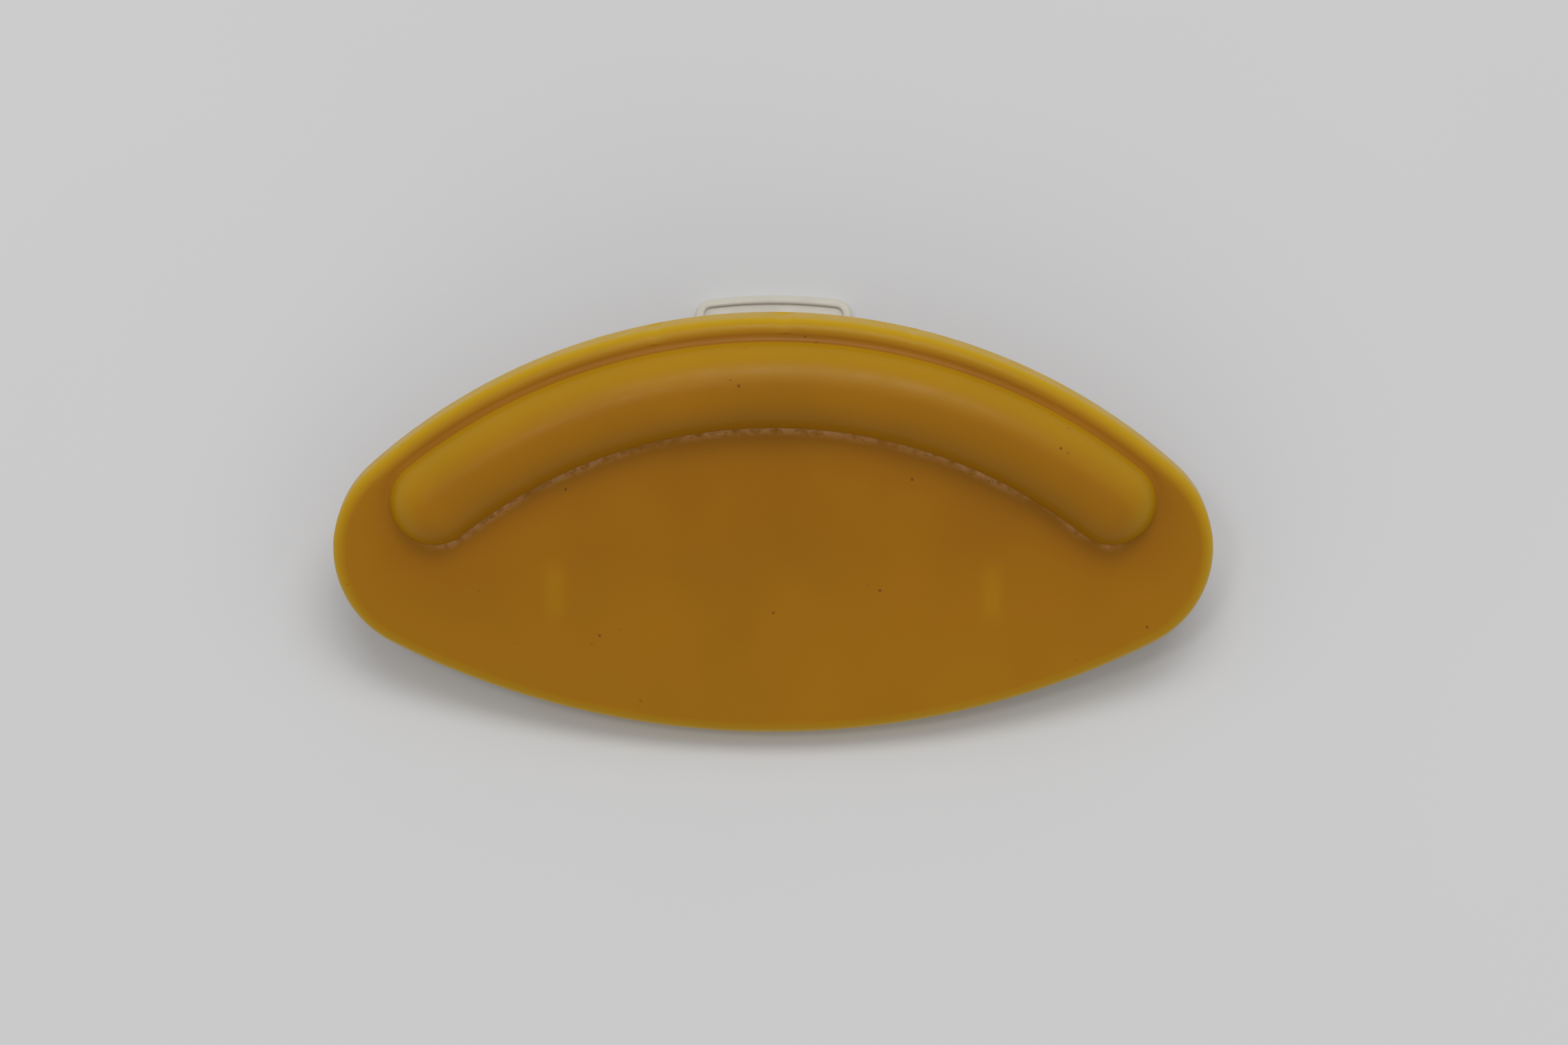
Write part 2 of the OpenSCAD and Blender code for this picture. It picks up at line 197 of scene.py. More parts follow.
class ClipColours(bpy.types.PropertyGroup):
    """Colours of the clip's materials"""

    yellow: colour("Yellow", "Face of the front jaw", (0.305, 0.119, 0.001))
    # Painted light: a brighter yellow that stands in for light coming through the thin rim, skirt
    # and ears, and for the lamps' light on the ridge's outer flank
    painted_light_yellow: colour("Rim yellow", "Thin rim and skirt, where light comes through",
                       (0.52, 0.315, 0.003))
    seam: colour("Seam", "Pale flash line along the foot of the ridge", (0.50, 0.26, 0.10))
    speck: colour("Specks", "Tiny burnt specks in the plastic", (0.12, 0.04, 0.006))
    natural: colour("Natural", "Unpigmented plastic of the lever", (0.57, 0.54, 0.465))
    natural_warm: colour("Natural, aged", "Slightly yellowed patches of the lever",
                         (0.53, 0.485, 0.375))
    rubber: colour("Rubber", "Jaw pads", (0.045, 0.045, 0.05))
    spool: colour("Spool", "Grey plastic of the spring spool", (0.42, 0.42, 0.40))
    pin: colour("Pin", "Zinc-plated pin", (0.60, 0.60, 0.59))
    spring: colour("Spring", "Drawn spring wire", (0.40, 0.40, 0.42))
    floor: colour("Floor", "Pale studio floor", (0.60, 0.60, 0.605))


class StageSettings(bpy.types.PropertyGroup):
    """Camera and lamps"""

    elevation: bpy.props.FloatProperty(
        name="Elevation", description="Camera above the horizon",
        default=math.radians(74), subtype="ANGLE",
    )
    lens: bpy.props.FloatProperty(
        name="Focal length", description="Lens, for a 36 mm wide frame", default=130, min=10
    )
    view_w: size("View width", "Width of what the camera sees at the clip", 232.1)
    aim: bpy.props.FloatVectorProperty(
        name="Aim", description="Point that the camera looks at and the lamps face",
        default=(1.6 * MM, -5.4 * MM, 17 * MM), size=3, unit="LENGTH",
    )
    key_power: bpy.props.FloatProperty(
        name="Key lamps", description="Power of each of the two soft lamps above and behind",
        default=10.0, min=0, unit="POWER",
    )
    fill_power: bpy.props.FloatProperty(
        name="Fill lamp", description="Power of the weak lamp near the camera",
        default=3.6, min=0, unit="POWER",
    )
    sky: share("Surroundings", "Strength of the even light from all round", 0.60)


# --- shared shaping ------------------------------------------------------------------------


def polar(centre, radius, degrees):
    """A point in a plane, at a distance and direction from a centre."""
    a = math.radians(degrees)
    return Vector((centre[0] + radius * math.cos(a), centre[1] + radius * math.sin(a)))


def arc(centre, radius, start, end, steps):
    """Points along an arc in a plane, from one direction to another, in degrees."""
    return [polar(centre, radius, start + (end - start) * i / steps) for i in range(steps + 1)]


def chain(bm, points):
    """A run of vertices joined by edges."""
    verts = [bm.verts.new(p) for p in points]
    edges = [bm.edges.new(pair) for pair in zip(verts, verts[1:])]
    return verts + edges


def agree(bm):
    """Makes neighbouring faces face the same way."""
    bmesh.ops.recalc_face_normals(bm, faces=bm.faces)


def spun(bm, geom, centre, axis, degrees, steps, merge=False):
    """Spins a run of edges round an axis, and gives the run that it ends in."""
    return bmesh.ops.spin(
        bm, geom=geom, cent=centre, axis=axis, angle=math.radians(degrees), steps=steps,
        use_merge=merge, use_duplicate=False,
    )["geom_last"]


def round_pairs(items):
    """Each item with the next one, and the last with the first."""
    return zip(items, items[1:] + items[:1])


def sweep(bm, section, turns):
    """Spins a section round one upright axis after another: (centre, degrees, steps) each."""
    for centre, degrees, steps in turns:
        section = spun(bm, section, (*centre, 0), (0, 0, 1), degrees, steps)
    bmesh.ops.remove_doubles(bm, verts=bm.verts, dist=WELD)


def stadium(bm, section, centre, line_r, middle, half):
    """Sweeps half a section, given as (distance from the line, height), round a curved bar.

    The bar follows an arc of radius line_r about centre, half degrees to each side of the
    direction middle, and has round ends.
    """
    start = middle - half
    out = polar((0, 0), 1, start)
    on_line = polar(centre, line_r, start)
    points = [(*(on_line + d * out), h) for d, h in section]
    steps = max(8, round(math.radians(2 * half) * line_r / MM))
    far_end = polar(centre, line_r, middle + half)
    sweep(bm, chain(bm, points), [
        (centre, 2 * half, steps), (far_end, 180, ROUND_STEPS),
        (centre, -2 * half, steps), (on_line, 180, ROUND_STEPS),
    ])


def flat_fill(bm, height):
    """Fills between the open loops that lie at one height."""
    loops = [
        e for e in bm.edges
        if e.is_boundary and all(abs(v.co.z - height) < WELD for v in e.verts)
    ]
    bmesh.ops.triangle_fill(bm, use_beauty=True, edges=loops, normal=(0, 0, 1))


def sheet_of(bm, outline, holes=()):
    """A flat face in the xy plane with an outline and round holes (centre, radius)."""
    rings = [outline] + [arc(c, r, 0, 360, 40)[:-1] for c, r in holes]
    edges = []
    for ring in rings:
        verts = [bm.verts.new((p[0], p[1], 0)) for p in ring]
        edges += [bm.edges.new(pair) for pair in round_pairs(verts)]
    if holes:
        made = bmesh.ops.triangle_fill(bm, use_beauty=True, edges=edges, normal=(0, 0, 1))
        return [g for g in made["geom"] if isinstance(g, BMFace)]
    return bmesh.ops.contextual_create(bm, geom=edges)["faces"]


def rounded(bm, edges, radius):
    """Rounds edges over."""
    bmesh.ops.bevel(
        bm, geom=edges, offset=radius, offset_type="OFFSET", segments=3,
        affect="EDGES", profile=0.5, material=-1, clamp_overlap=True,
    )


def sharp_edges(bm, degrees):
    """Edges whose two faces meet at more than an angle."""
    limit = math.radians(degrees)
    return [e for e in bm.edges if len(e.link_faces) == 2 and e.calc_face_angle(0) > limit]


def slab(outline, low, high, edge_r, holes=()):
    """A plate with an outline in the xy plane, between two heights, with rounded edges."""
    bm = bmesh.new()
    faces = sheet_of(bm, outline, holes)
    bmesh.ops.translate(bm, verts=bm.verts, vec=(0, 0, low))
    grown = bmesh.ops.extrude_face_region(bm, geom=faces, use_keep_orig=True)["geom"]
    top = [g for g in grown if isinstance(g, BMVert)]
    bmesh.ops.translate(bm, verts=top, vec=(0, 0, high - low))
    agree(bm)
    rims = [e for e in sharp_edges(bm, 50) if abs(e.verts[0].co.z - e.verts[1].co.z) < NEAR]
    rounded(bm, rims, edge_r)
    return bm


def side_plate(outline, thickness, edge_r, holes=()):
    """A plate across the clip, from its side view: y to the right, z up."""
    plate = slab(outline, -thickness / 2, thickness / 2, edge_r, holes)
    plate.transform(Matrix(((0, 0, 1, 0), (1, 0, 0, 0), (0, 1, 0, 0), (0, 0, 0, 1))))
    return plate


def face_outwards(bm):
    """Turns the faces of a closed mesh outwards."""
    agree(bm)
    if bm.calc_volume(signed=True) < 0:
        bmesh.ops.reverse_faces(bm, faces=bm.faces)


def shift(x):
    """A move along the clip."""
    return Matrix.Translation((x, 0, 0))


def merge_in(bm, other, place=Matrix.Identity(4)):
    """Adds another piece of mesh to bm, put in its place."""
    other.transform(place)
    spare = bpy.data.meshes.new("spare")
    other.to_mesh(spare)
    other.free()
    bm.from_mesh(spare)
    bpy.data.meshes.remove(spare)


def piece(name, bm, place, body, slot, material, *replaced):
    """Makes the finished object: in its place, smooth but for its creases, riding on a body."""
    bm.transform(place)
    mesh = bpy.data.meshes.new(name)
    bm.to_mesh(mesh)
    bm.free()
    mesh.shade_smooth()
    mesh.set_sharp_from_angle(angle=math.radians(CREASE))
    mesh.materials.append(material)
    obj = bpy.data.objects.new(name, mesh)
    bpy.context.scene.collection.objects.link(obj)
    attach(obj, body)
    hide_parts(*replaced)


class Layout:
    """The sizes, and the places and arcs that several pieces share, worked out from them."""

    def __init__(self, scene):
        jaw, lever, hinge = scene.clip_front, scene.clip_lever, scene.clip_hinge
        self.jaw, self.lever, self.hinge = jaw, lever, hinge
        self.end_x = jaw.width / 2 - jaw.end_r

        def lens_r(rise):
            return (self.end_x**2 + rise**2 - jaw.end_r**2) / (2 * (rise - jaw.end_r))

        self.top_r = lens_r(jaw.top_rise)
        self.low_r = lens_r(jaw.bottom_drop)
        self.top_c = (0, jaw.top_rise - self.top_r)
        self.low_c = (0, self.low_r - jaw.bottom_drop)
        self.end_c = (self.end_x, 0)
        self.top_dir = math.degrees(math.atan2(-self.top_c[1], self.end_x))
        self.low_dir = math.degrees(math.atan2(-self.low_c[1], self.end_x))
        self.ridge_line = self.top_r - jaw.ridge_inset
        reach = jaw.width / 2 - jaw.ridge_end_gap
        self.ridge_half = math.degrees(math.asin(reach / self.ridge_line))
        self.hinge_y = jaw.hinge_up - jaw.bottom_drop
        self.level = Matrix.Translation(HINGE)
        self.leaning = self.level @ Matrix.Rotation(LEAN, 4, "X")
        self.face = self.leaning @ Matrix.Translation((0, -self.hinge_y, jaw.hinge_back))
        self.bore_r = hinge.pin_r + hinge.pin_play
        self.ear_out = jaw.ear_x + jaw.ear_t / 2
        self.cheek_out = jaw.ear_x - jaw.ear_t / 2 - lever.ear_gap
        self.bar_line = self.low_r - jaw.skirt_t - lever.bar_gap - lever.bar_w / 2
        self.bar_half = math.degrees(math.asin(lever.bar_len / 2 / self.bar_line))
        self.pad_back = jaw.face_t + 2 * lever.pad_t
        bar_mid = jaw.hinge_back - self.pad_back - lever.bar_t / 2
        bar_top = jaw.skirt_t + lever.bar_gap + lever.bar_w - jaw.hinge_up
        web_mid = lever.web_back - lever.web_t / 2
        knee = Vector((bar_top - lever.web_t / 2, bar_mid))
        lean = math.degrees(LEAN)
        wrap = math.degrees(math.atan2(knee.y, knee.x) + math.acos(web_mid / knee.length))
        self.wrap_dir = wrap + lean
        self.wall_len = math.sqrt(knee.length**2 - web_mid**2)
        self.bar_foot = Matrix.Rotation(LEAN, 2) @ Vector((bar_top, bar_mid))
        self.tab_root = ((lever.tab_w + lever.tab_taper) / 2, lever.reach - lever.tab_len)
        self.sweep_r = self.cheek_out - self.tab_root[0]
        self.coil_sweep = 360 * hinge.coil_turns + 180 - lean
        pitch = hinge.wire_d + hinge.coil_gap
        self.coil_len = pitch * self.coil_sweep / 360


# --- materials -----------------------------------------------------------------------------


def toned(colour_value, times):
    """A colour made darker or lighter."""
    return [c * times for c in colour_value]


class Shader:
    """Builds one node material with a Principled shader, on Object coordinates."""

    def __init__(self, name):
        self.material = bpy.data.materials.new(name)
        self.material.use_nodes = True
        self.tree = self.material.node_tree
        self.shader = self.tree.nodes["Principled BSDF"]
        self.coords = self.add("ShaderNodeTexCoord").outputs["Object"]

    def wire(self, value, socket):
        """Links a socket to another, or sets its value."""
        if isinstance(value, bpy.types.NodeSocket):
            self.tree.links.new(value, socket)
        else:
            socket.default_value = value

    def add(self, kind, inputs=None, **settings):
        """A node with its settings, and with values or links for its inputs."""
        node = self.tree.nodes.new(kind)
        for key, value in settings.items():
            setattr(node, key, value)
        for key, value in (inputs or {}).items():
            self.wire(value, node.inputs[key])
        return node

    def set(self, **values):
        """Sets the shader's own sockets."""
        for key, value in values.items():
            self.shader.inputs[key.replace("_", " ")].default_value = value

    def placed(self, location=(0, 0, 0), rotation=(0, 0, 0), scale=(1, 1, 1)):
        """Object coordinates, moved, turned or stretched."""
        return self.add("ShaderNodeMapping", {
            "Vector": self.coords, "Location": location, "Rotation": rotation, "Scale": scale,
        }).outputs["Vector"]

    def clouds(self, scale, detail=3.0, roughness=0.5, coords=None):
        return self.add("ShaderNodeTexNoise", {
            "Vector": coords or self.coords,
            "Scale": scale, "Detail": detail, "Roughness": roughness,
        }).outputs["Fac"]

    def dots(self, scale):
        inputs = {"Vector": self.coords, "Scale": scale}
        return self.add("ShaderNodeTexVoronoi", inputs).outputs["Distance"]

    def math(self, operation, a, b=0.0):
        return self.add("ShaderNodeMath", {0: a, 1: b}, operation=operation).outputs[0]

    def off(self, a, b):
        """Distance between two numbers."""
        return self.math("ABSOLUTE", self.math("SUBTRACT", a, b))

    def times(self, value, *others):
        for other in others:
            value = self.math("MULTIPLY", value, other)
        return value

    def ramp(self, value, low, high, out_low=0.0, out_high=1.0):
        """A smooth step from one value to another between low and high."""
        return self.add("ShaderNodeMapRange", {
            "Value": value, "From Min": low, "From Max": high,
            "To Min": out_low, "To Max": out_high,
        }, interpolation_type="SMOOTHSTEP").outputs["Result"]

    def mix(self, factor, a, b):
        a, b = (c if isinstance(c, bpy.types.NodeSocket) else (*c, 1) for c in (a, b))
        inputs = {"Factor": factor, "A": a, "B": b}
        return self.add("ShaderNodeMix", inputs, data_type="RGBA").outputs["Result"]

    def painted(self, name):
        """A value that the piece's mesh holds at its vertices."""
        return self.add("ShaderNodeAttribute", attribute_name=name).outputs["Fac"]

    def finish(self, base, roughness, bumps=()):
        """Links the colour and roughness, and stacks bumps of (height, strength, depth)."""
        self.wire(base, self.shader.inputs["Base Color"])
        self.wire(roughness, self.shader.inputs["Roughness"])
        under = {}
        for height, strength, depth in bumps:
            inputs = {"Height": height, "Strength": strength, "Distance": depth, **under}
            under = {"Normal": self.add("ShaderNodeBump", inputs).outputs["Normal"]}
        if under:
            self.wire(under["Normal"], self.shader.inputs["Normal"])
        return self.material


def yellow_plastic(colours, lay):
    """Moulded yellow plastic: painted light makes the thin rim, the ridge's outer flank and faint
    marks by the ears brighter; pale flash at the ridge's foot.
    """
    s = Shader("yellow_plastic")
    drift = s.ramp(s.clouds(45, detail=2), 0.3, 0.7)
    base = s.mix(drift, toned(colours.yellow, 0.95), toned(colours.yellow, 1.06))

    # Painted light at the ears and the rim: brighter yellow stands in for light coming through
    # where the plastic is thin or backed
    painted_ear_glow = 0.13
    face = s.placed(location=lay.face.inverted().to_translation(), rotation=(-LEAN, 0, 0))
    across, up, out = s.add("ShaderNodeSeparateXYZ", {0: face}).outputs
    beside = s.off(s.math("ABSOLUTE", across), lay.jaw.ear_x)
    above = s.off(up, lay.hinge_y)
    on_face = s.ramp(out, -0.6 * MM, -0.3 * MM)
    near_ear = s.times(s.ramp(beside, 2.6 * MM, 0.2 * MM), s.ramp(above, 6 * MM, 2 * MM))
    base = s.mix(s.times(near_ear, on_face, painted_ear_glow), base, colours.painted_light_yellow)
    # Painted light from the rim attribute: the thin rim and the ridge's outer flank are shown
    # brighter
    base = s.mix(s.painted("rim"), base, colours.painted_light_yellow)

    # Flash along the ridge's foot, broken up into grit and patches
    flash_share = 0.85
    grit = s.ramp(s.clouds(900, detail=4, roughness=0.7), 0.34, 0.58)
    patches = s.ramp(s.clouds(120, detail=2), 0.28, 0.52)
    flash = s.times(s.painted("seam"), grit, patches)
    base = s.mix(s.times(flash, flash_share), base, colours.seam)

    # Specks, in a few places only
    speck_share = 0.8
    rare = s.ramp(s.clouds(110, detail=1), 0.6, 0.68)
    speck = s.times(s.ramp(s.dots(420), 0.13, 0.06), rare, speck_share)
    base = s.mix(speck, base, colours.speck)

    rough = s.ramp(s.clouds(260, detail=3), 0.3, 0.7, 0.33, 0.42)
    s.set(Subsurface_Weight=0.12, Subsurface_Scale=1.6 * MM, IOR=1.5, Specular_IOR_Level=0.15,
          Subsurface_Radius=(1.0, 0.55, 0.08))
    return s.finish(base, rough, [
        (s.clouds(70, detail=2), 0.15, 0.08 * MM), (s.clouds(2200, detail=2), 0.12, 0.03 * MM),
        (flash, 0.6, 0.12 * MM),
    ])


def natural_plastic(colours):
    """Unpigmented, slightly translucent plastic, a little yellowed in patches."""
    s = Shader("natural_plastic")
    aged = s.ramp(s.clouds(60, detail=3), 0.4, 0.7)
    base = s.mix(aged, colours.natural, colours.natural_warm)
    rough = s.ramp(s.clouds(300, detail=3), 0.3, 0.7, 0.36, 0.5)
    s.set(Subsurface_Weight=0.1, Subsurface_Scale=1.2 * MM, IOR=1.5,
          Subsurface_Radius=(1.0, 0.9, 0.7))
    return s.finish(base, rough, [
        (s.clouds(90, detail=2), 0.4, 0.2 * MM), (s.clouds(2600, detail=2), 0.15, 0.03 * MM),
    ])


def pad_rubber(colours):
    """Matt grey-black rubber with fine pores and a dusty bloom."""
    s = Shader("pad_rubber")
    bloom = s.ramp(s.clouds(500, detail=5, roughness=0.7), 0.45, 0.75)
    base = s.mix(bloom, colours.rubber, toned(colours.rubber, 1.9))
    pores = s.ramp(s.dots(2400), 0.0, 0.25)
    return s.finish(base, s.ramp(bloom, 0, 1, 0.72, 0.86), [
        (pores, 0.35, 0.05 * MM), (s.clouds(900, detail=4), 0.25, 0.06 * MM),
    ])


def spool_plastic(colours):
    """Grey moulded plastic with a light grain."""
    s = Shader("spool_plastic")
    cloud = s.clouds(350, detail=4)
    base = s.mix(cloud, toned(colours.spool, 0.9), toned(colours.spool, 1.1))
    return s.finish(base, s.ramp(cloud, 0.3, 0.7, 0.42, 0.55), [
        (s.clouds(2400, detail=3), 0.25, 0.03 * MM),
    ])


def steel(name, tone, stretch, smooth, worn):
    """Drawn or plated steel: fine lines drawn out by stretch, and darker oily patches."""
    s = Shader(name)
    lines = s.clouds(900, detail=4, roughness=0.6, coords=s.placed(scale=stretch))
    patch = s.ramp(s.clouds(230, detail=4), 0.35, 0.75)
    base = s.mix(patch, tone, toned(tone, worn))
    s.set(Metallic=1.0)
    return s.finish(base, s.ramp(lines, 0.3, 0.7, smooth, smooth + 0.16), [
        (lines, 0.18, 0.03 * MM), (s.clouds(1500, detail=3), 0.1, 0.03 * MM),
    ])


# --- the front jaw -------------------------------------------------------------------------


RIDGE_BLEND = 2.5  # how late the ridge's outer fillet turns into its crisp inner foot
# Nicks in the top edge: (place along the clip in mm, half width in mm, share of the full depth)
NICKS = ((-17.1, 0.8, 0.9), (1.5, 1.1, 0.8), (20.8, 0.6, 0.6))


def ridge_section(jaw, fillet, rings):
    """Half the section of the ridge, as (distance, height): crest, flank, fillet and foot.

    The rings are flat steps outwards from the foot.
    """
    centres = jaw.ridge_r + fillet
    reach = math.sqrt(centres**2 - (fillet + jaw.ridge_sink) ** 2)
    lean = math.degrees(math.asin(reach / centres))
    flank = arc((0, -jaw.ridge_sink), jaw.ridge_r, 90, 90 - lean, 18)
    turn = arc((reach, fillet), fillet, -90 - lean, -90, 6)
    return flank + turn[1:] + [Vector((reach + r, 0)) for r in rings]


def ridge_place(co, lay):
    """Nearest point of the ridge's line, and how far round to its inner side a point lies."""
    flat = Vector((co.x, co.y)) - Vector(lay.top_c)
    turn = math.degrees(math.atan2(flat.x, flat.y))
    held = max(-lay.ridge_half, min(lay.ridge_half, turn))
    outwards = polar((0, 0), 1, 90 - held)
    line = Vector(lay.top_c) + outwards * lay.ridge_line
    away = Vector((co.x, co.y)) - line
    facing = away.dot(outwards) / away.length if away.length > NEAR else 0
    inner = max(0.0, (1 - facing) / 2)
    return line, away, inner**RIDGE_BLEND


def ridge_mesh(lay):
    """The ridge's skin: a broad fillet on its outer side and a crisp foot on its inner side."""
    jaw, bm = lay.jaw, bmesh.new()
    broad = ridge_section(jaw, jaw.ridge_fillet, (0.03 * MM, 0.05 * MM, 0.07 * MM))
    crisp = ridge_section(jaw, jaw.ridge_crisp, (0.45 * MM, 1.0 * MM, 1.6 * MM))
    stadium(bm, broad, lay.top_c, lay.ridge_line, 90, lay.ridge_half)
    for v in bm.verts:
        line, away, inner = ridge_place(v.co, lay)
        here = Vector((away.length, v.co.z))
        step = min(range(len(broad)), key=lambda i: (broad[i] - here).length)
        moved = broad[step].lerp(crisp[step], inner)
        if away.length > NEAR:
            spot = line + away.normalized() * moved.x
            v.co = (spot.x, spot.y, moved.y)
    return bm


def front_jaw_mesh(lay):
    """The tray with its rounded rim, the hollow ridge, the ears and the spring seats."""
    jaw, bm = lay.jaw, bmesh.new()
    # The rim attribute holds painted light: how much brighter yellow shows at the thin rim and on
    # the ridge's outer flank
    rim = bm.verts.layers.float.new("rim")
    seam = bm.verts.layers.float.new("seam")
    foot = 0.1 * MM
    lip = 0.4 * MM

    # Rim and skirt: inside corner, free edge, outside, rounded rim, edge of the flat face
    inner, deep = jaw.inner_round, jaw.depth
    wall = [(jaw.skirt_t + inner + lip, -jaw.face_t), (jaw.skirt_t + inner, -jaw.face_t)]
    wall += arc((jaw.skirt_t + inner, -jaw.face_t - inner), inner, 90, 180, 5)[1:]
    wall += arc((jaw.skirt_edge_t - lip, lip - deep), lip, 0, -90, 4)
    wall += arc((lip, lip - deep), lip, -90, -180, 4)
    wall += [(0, -jaw.depth * 0.6), (0, -jaw.rim_round * 1.6)]
    wall += arc((jaw.rim_round, -jaw.rim_round), jaw.rim_round, 180, 90, 8)
    wall += [(jaw.rim_round + foot, 0)]
    start = polar((0, 0), 1, lay.top_dir)
    edge = polar(lay.end_c, jaw.end_r, lay.top_dir)
    section = [(*(edge - d * start), h) for d, h in wall]
    far_c = (-lay.end_x, 0)
    side = lay.top_dir - lay.low_dir
    top_steps, low_steps, side_steps = 132, 116, 40
    sweep(bm, chain(bm, section), [
        (lay.top_c, 180 - 2 * lay.top_dir, top_steps), (far_c, side, side_steps),
        (lay.low_c, 180 + 2 * lay.low_dir, low_steps), (lay.end_c, side, side_steps),
    ])
    # Painted light along the outline, kept in the rim attribute
    for v in bm.verts:
        v[rim] = painted_rim_light(v.co, lay)

    # Ridge and its hollow
    merge_in(bm, ridge_mesh(lay))
    hollow_r = jaw.ridge_r - jaw.ridge_wall
    hollow = arc((0, -jaw.ridge_sink), hollow_r, 90, 0, 14)
    hollow += arc((hollow_r + lip, lip - jaw.face_t), lip, 180, 270, 4)
    hollow += [Vector((hollow_r + 3 * lip, -jaw.face_t))]
    stadium(bm, hollow, lay.top_c, lay.ridge_line, 90, lay.ridge_half)
    flat_fill(bm, 0)
    flat_fill(bm, -jaw.face_t)
    agree(bm)
    for v in bm.verts:
        # Painted highlight on the ridge's outer flank and ends, kept in the rim attribute too
        v[rim] = max(v[rim], painted_ridge_light(v.co, lay))
        v[seam] = seam_share(v.co, lay)
        nick_edge(v, lay)

    for side in (-1, 1):
        merge_in(bm, ear_mesh(lay), shift(side * jaw.ear_x))
        merge_in(bm, seat_mesh(lay), shift(side * lay.hinge.coil_start))
    return bm


def clamped(value):
    """A number kept between 0 and 1."""
    return min(1.0, max(0.0, value))


def edge_inset(co, lay):
    """Distance of a point from the jaw's outline, inwards."""
    p = Vector((abs(co.x), co.y))
    direction = math.degrees(math.atan2(p.y, p.x - lay.end_x))
    radius, centre = (lay.top_r, lay.top_c) if p.y > 0 else (lay.low_r, lay.low_c)
    if lay.low_dir <= direction <= lay.top_dir:
        radius, centre = lay.jaw.end_r, lay.end_c
    return radius - (p - Vector(centre)).length


def painted_rim_light(co, lay):
    """How much painted light a point shows near the thin rim: brighter yellow in place of light
    coming through the thin plastic and catching the round edge that faces the lamps.
    """
    reach, falloff = 1.5 * lay.jaw.rim_round, 1.8
    return (1 - clamped(edge_inset(co, lay) / reach)) ** falloff


def painted_ridge_light(co, lay):
    """How much painted highlight shows on the ridge: brighter yellow on its outer flank and ends,
    where the lamps above would light it, and a little all over.
    """
    if co.z < lay.jaw.ridge_fillet / 2:
        return 0.0
    everywhere, on_flank = 0.06, 0.36
    away, inner = ridge_place(co, lay)[1:]
    out = clamped((away.length / lay.jaw.ridge_r - 0.2) / 0.6)
    return everywhere + on_flank * out * (1 - inner) ** 2


def seam_share(co, lay):
    """How much of the pale flash shows: only at the inner foot of the ridge."""
    highest, half_w = 1.2 * MM, 0.9 * MM
    if co.z > highest or co.z < -lay.jaw.face_t / 2:
        return 0.0
    away, inner = ridge_place(co, lay)[1:]
    off_foot = abs(away.length - lay.jaw.ridge_r - 0.5 * lay.jaw.ridge_crisp)
    return clamped((inner - 0.55) / 0.25) * clamped(1 - off_foot / half_w)


def nick_edge(vert, lay):
    """Cuts the small nicks in the top edge, and makes the edge a little uneven."""
    co, rim_round = vert.co, lay.jaw.rim_round
    if co.y < 0 or edge_inset(co, lay) > rim_round or co.z < -3 * rim_round:
        return
    inwards = Vector((lay.top_c[0] - co.x, lay.top_c[1] - co.y, 0)).normalized()
    for place, width, deep in NICKS:
        near = (co.x / MM - place) / width
        if abs(near) < 1:
            vert.co += inwards * (lay.jaw.nick * deep * (1 - near * near))
    uneven, always = 0.03 * MM, 0.4
    rough = noise.noise(Vector((co.x * 900, co.y * 900, co.z * 300)))
    vert.co += inwards * (uneven * (rough + always))


def ear_mesh(lay):
    """An ear that carries the hinge pin, rooted in the back of the face."""
    jaw = lay.jaw
    axis = (lay.hinge_y, -jaw.hinge_back)
    root = -jaw.face_t / 2
    outline = arc(axis, jaw.ear_w / 2, -180, 0, 24)
    outline += [(axis[0] + jaw.ear_w / 2, root), (axis[0] - jaw.ear_w / 2, root)]
    return side_plate(outline, jaw.ear_t, 0.35 * MM, [(axis, lay.bore_r)])


def seat_mesh(lay):
    """The raised seat with a round groove that a spring's front leg lies in."""
    jaw, hinge = lay.jaw, lay.hinge
    half_w, half_l = 1.5 * hinge.wire_d, 3 * MM
    groove = hinge.wire_d / 2 + 0.2 * MM
    from_tip = 1 * MM
    leg_w = -jaw.hinge_back + hinge.coil_r
    top = leg_w - hinge.wire_d / 4
    outline = [(-half_w, -jaw.face_t / 2), (-half_w, top), (-groove, top)]
    outline += arc((0, leg_w), groove, 162, 18, 10)
    outline += [(groove, top), (half_w, top), (half_w, -jaw.face_t / 2)]
    block = slab(outline, -half_l, half_l, 0.2 * MM)
    middle = lay.hinge_y + hinge.leg - from_tip - half_l
    block.transform(Matrix.Translation((0, middle, 0)) @ Matrix.Rotation(math.pi / 2, 4, "X"))
    return block


# --- the lever, the bar and the pads ---------------------------------------------------------


WRAP_STEPS = 6  # faces in the lever's curve round the coils
GROOVES = 5  # grip grooves in the back of the tab


def tip_outline(lever, inset):
    """The tab's right corner and half its curved tip, moved inwards."""
    corner_x = lever.tab_w / 2 - lever.corner_r
    tip_c = (0, lever.reach - lever.tip_r)
    corner_up = math.sqrt((lever.tip_r - lever.corner_r) ** 2 - corner_x**2)
    tip_dir = math.degrees(math.atan2(corner_up, corner_x))
    corner = arc((corner_x, tip_c[1] + corner_up), lever.corner_r - inset, 0, tip_dir, 8)
    return corner + arc(tip_c, lever.tip_r - inset, tip_dir, 90, 10)[1:]


def mirrored(points):
    """Adds the left half to the right half of an outline that ends in the middle."""
    return list(points) + [Vector((-p[0], p[1])) for p in reversed(points[:-1])]


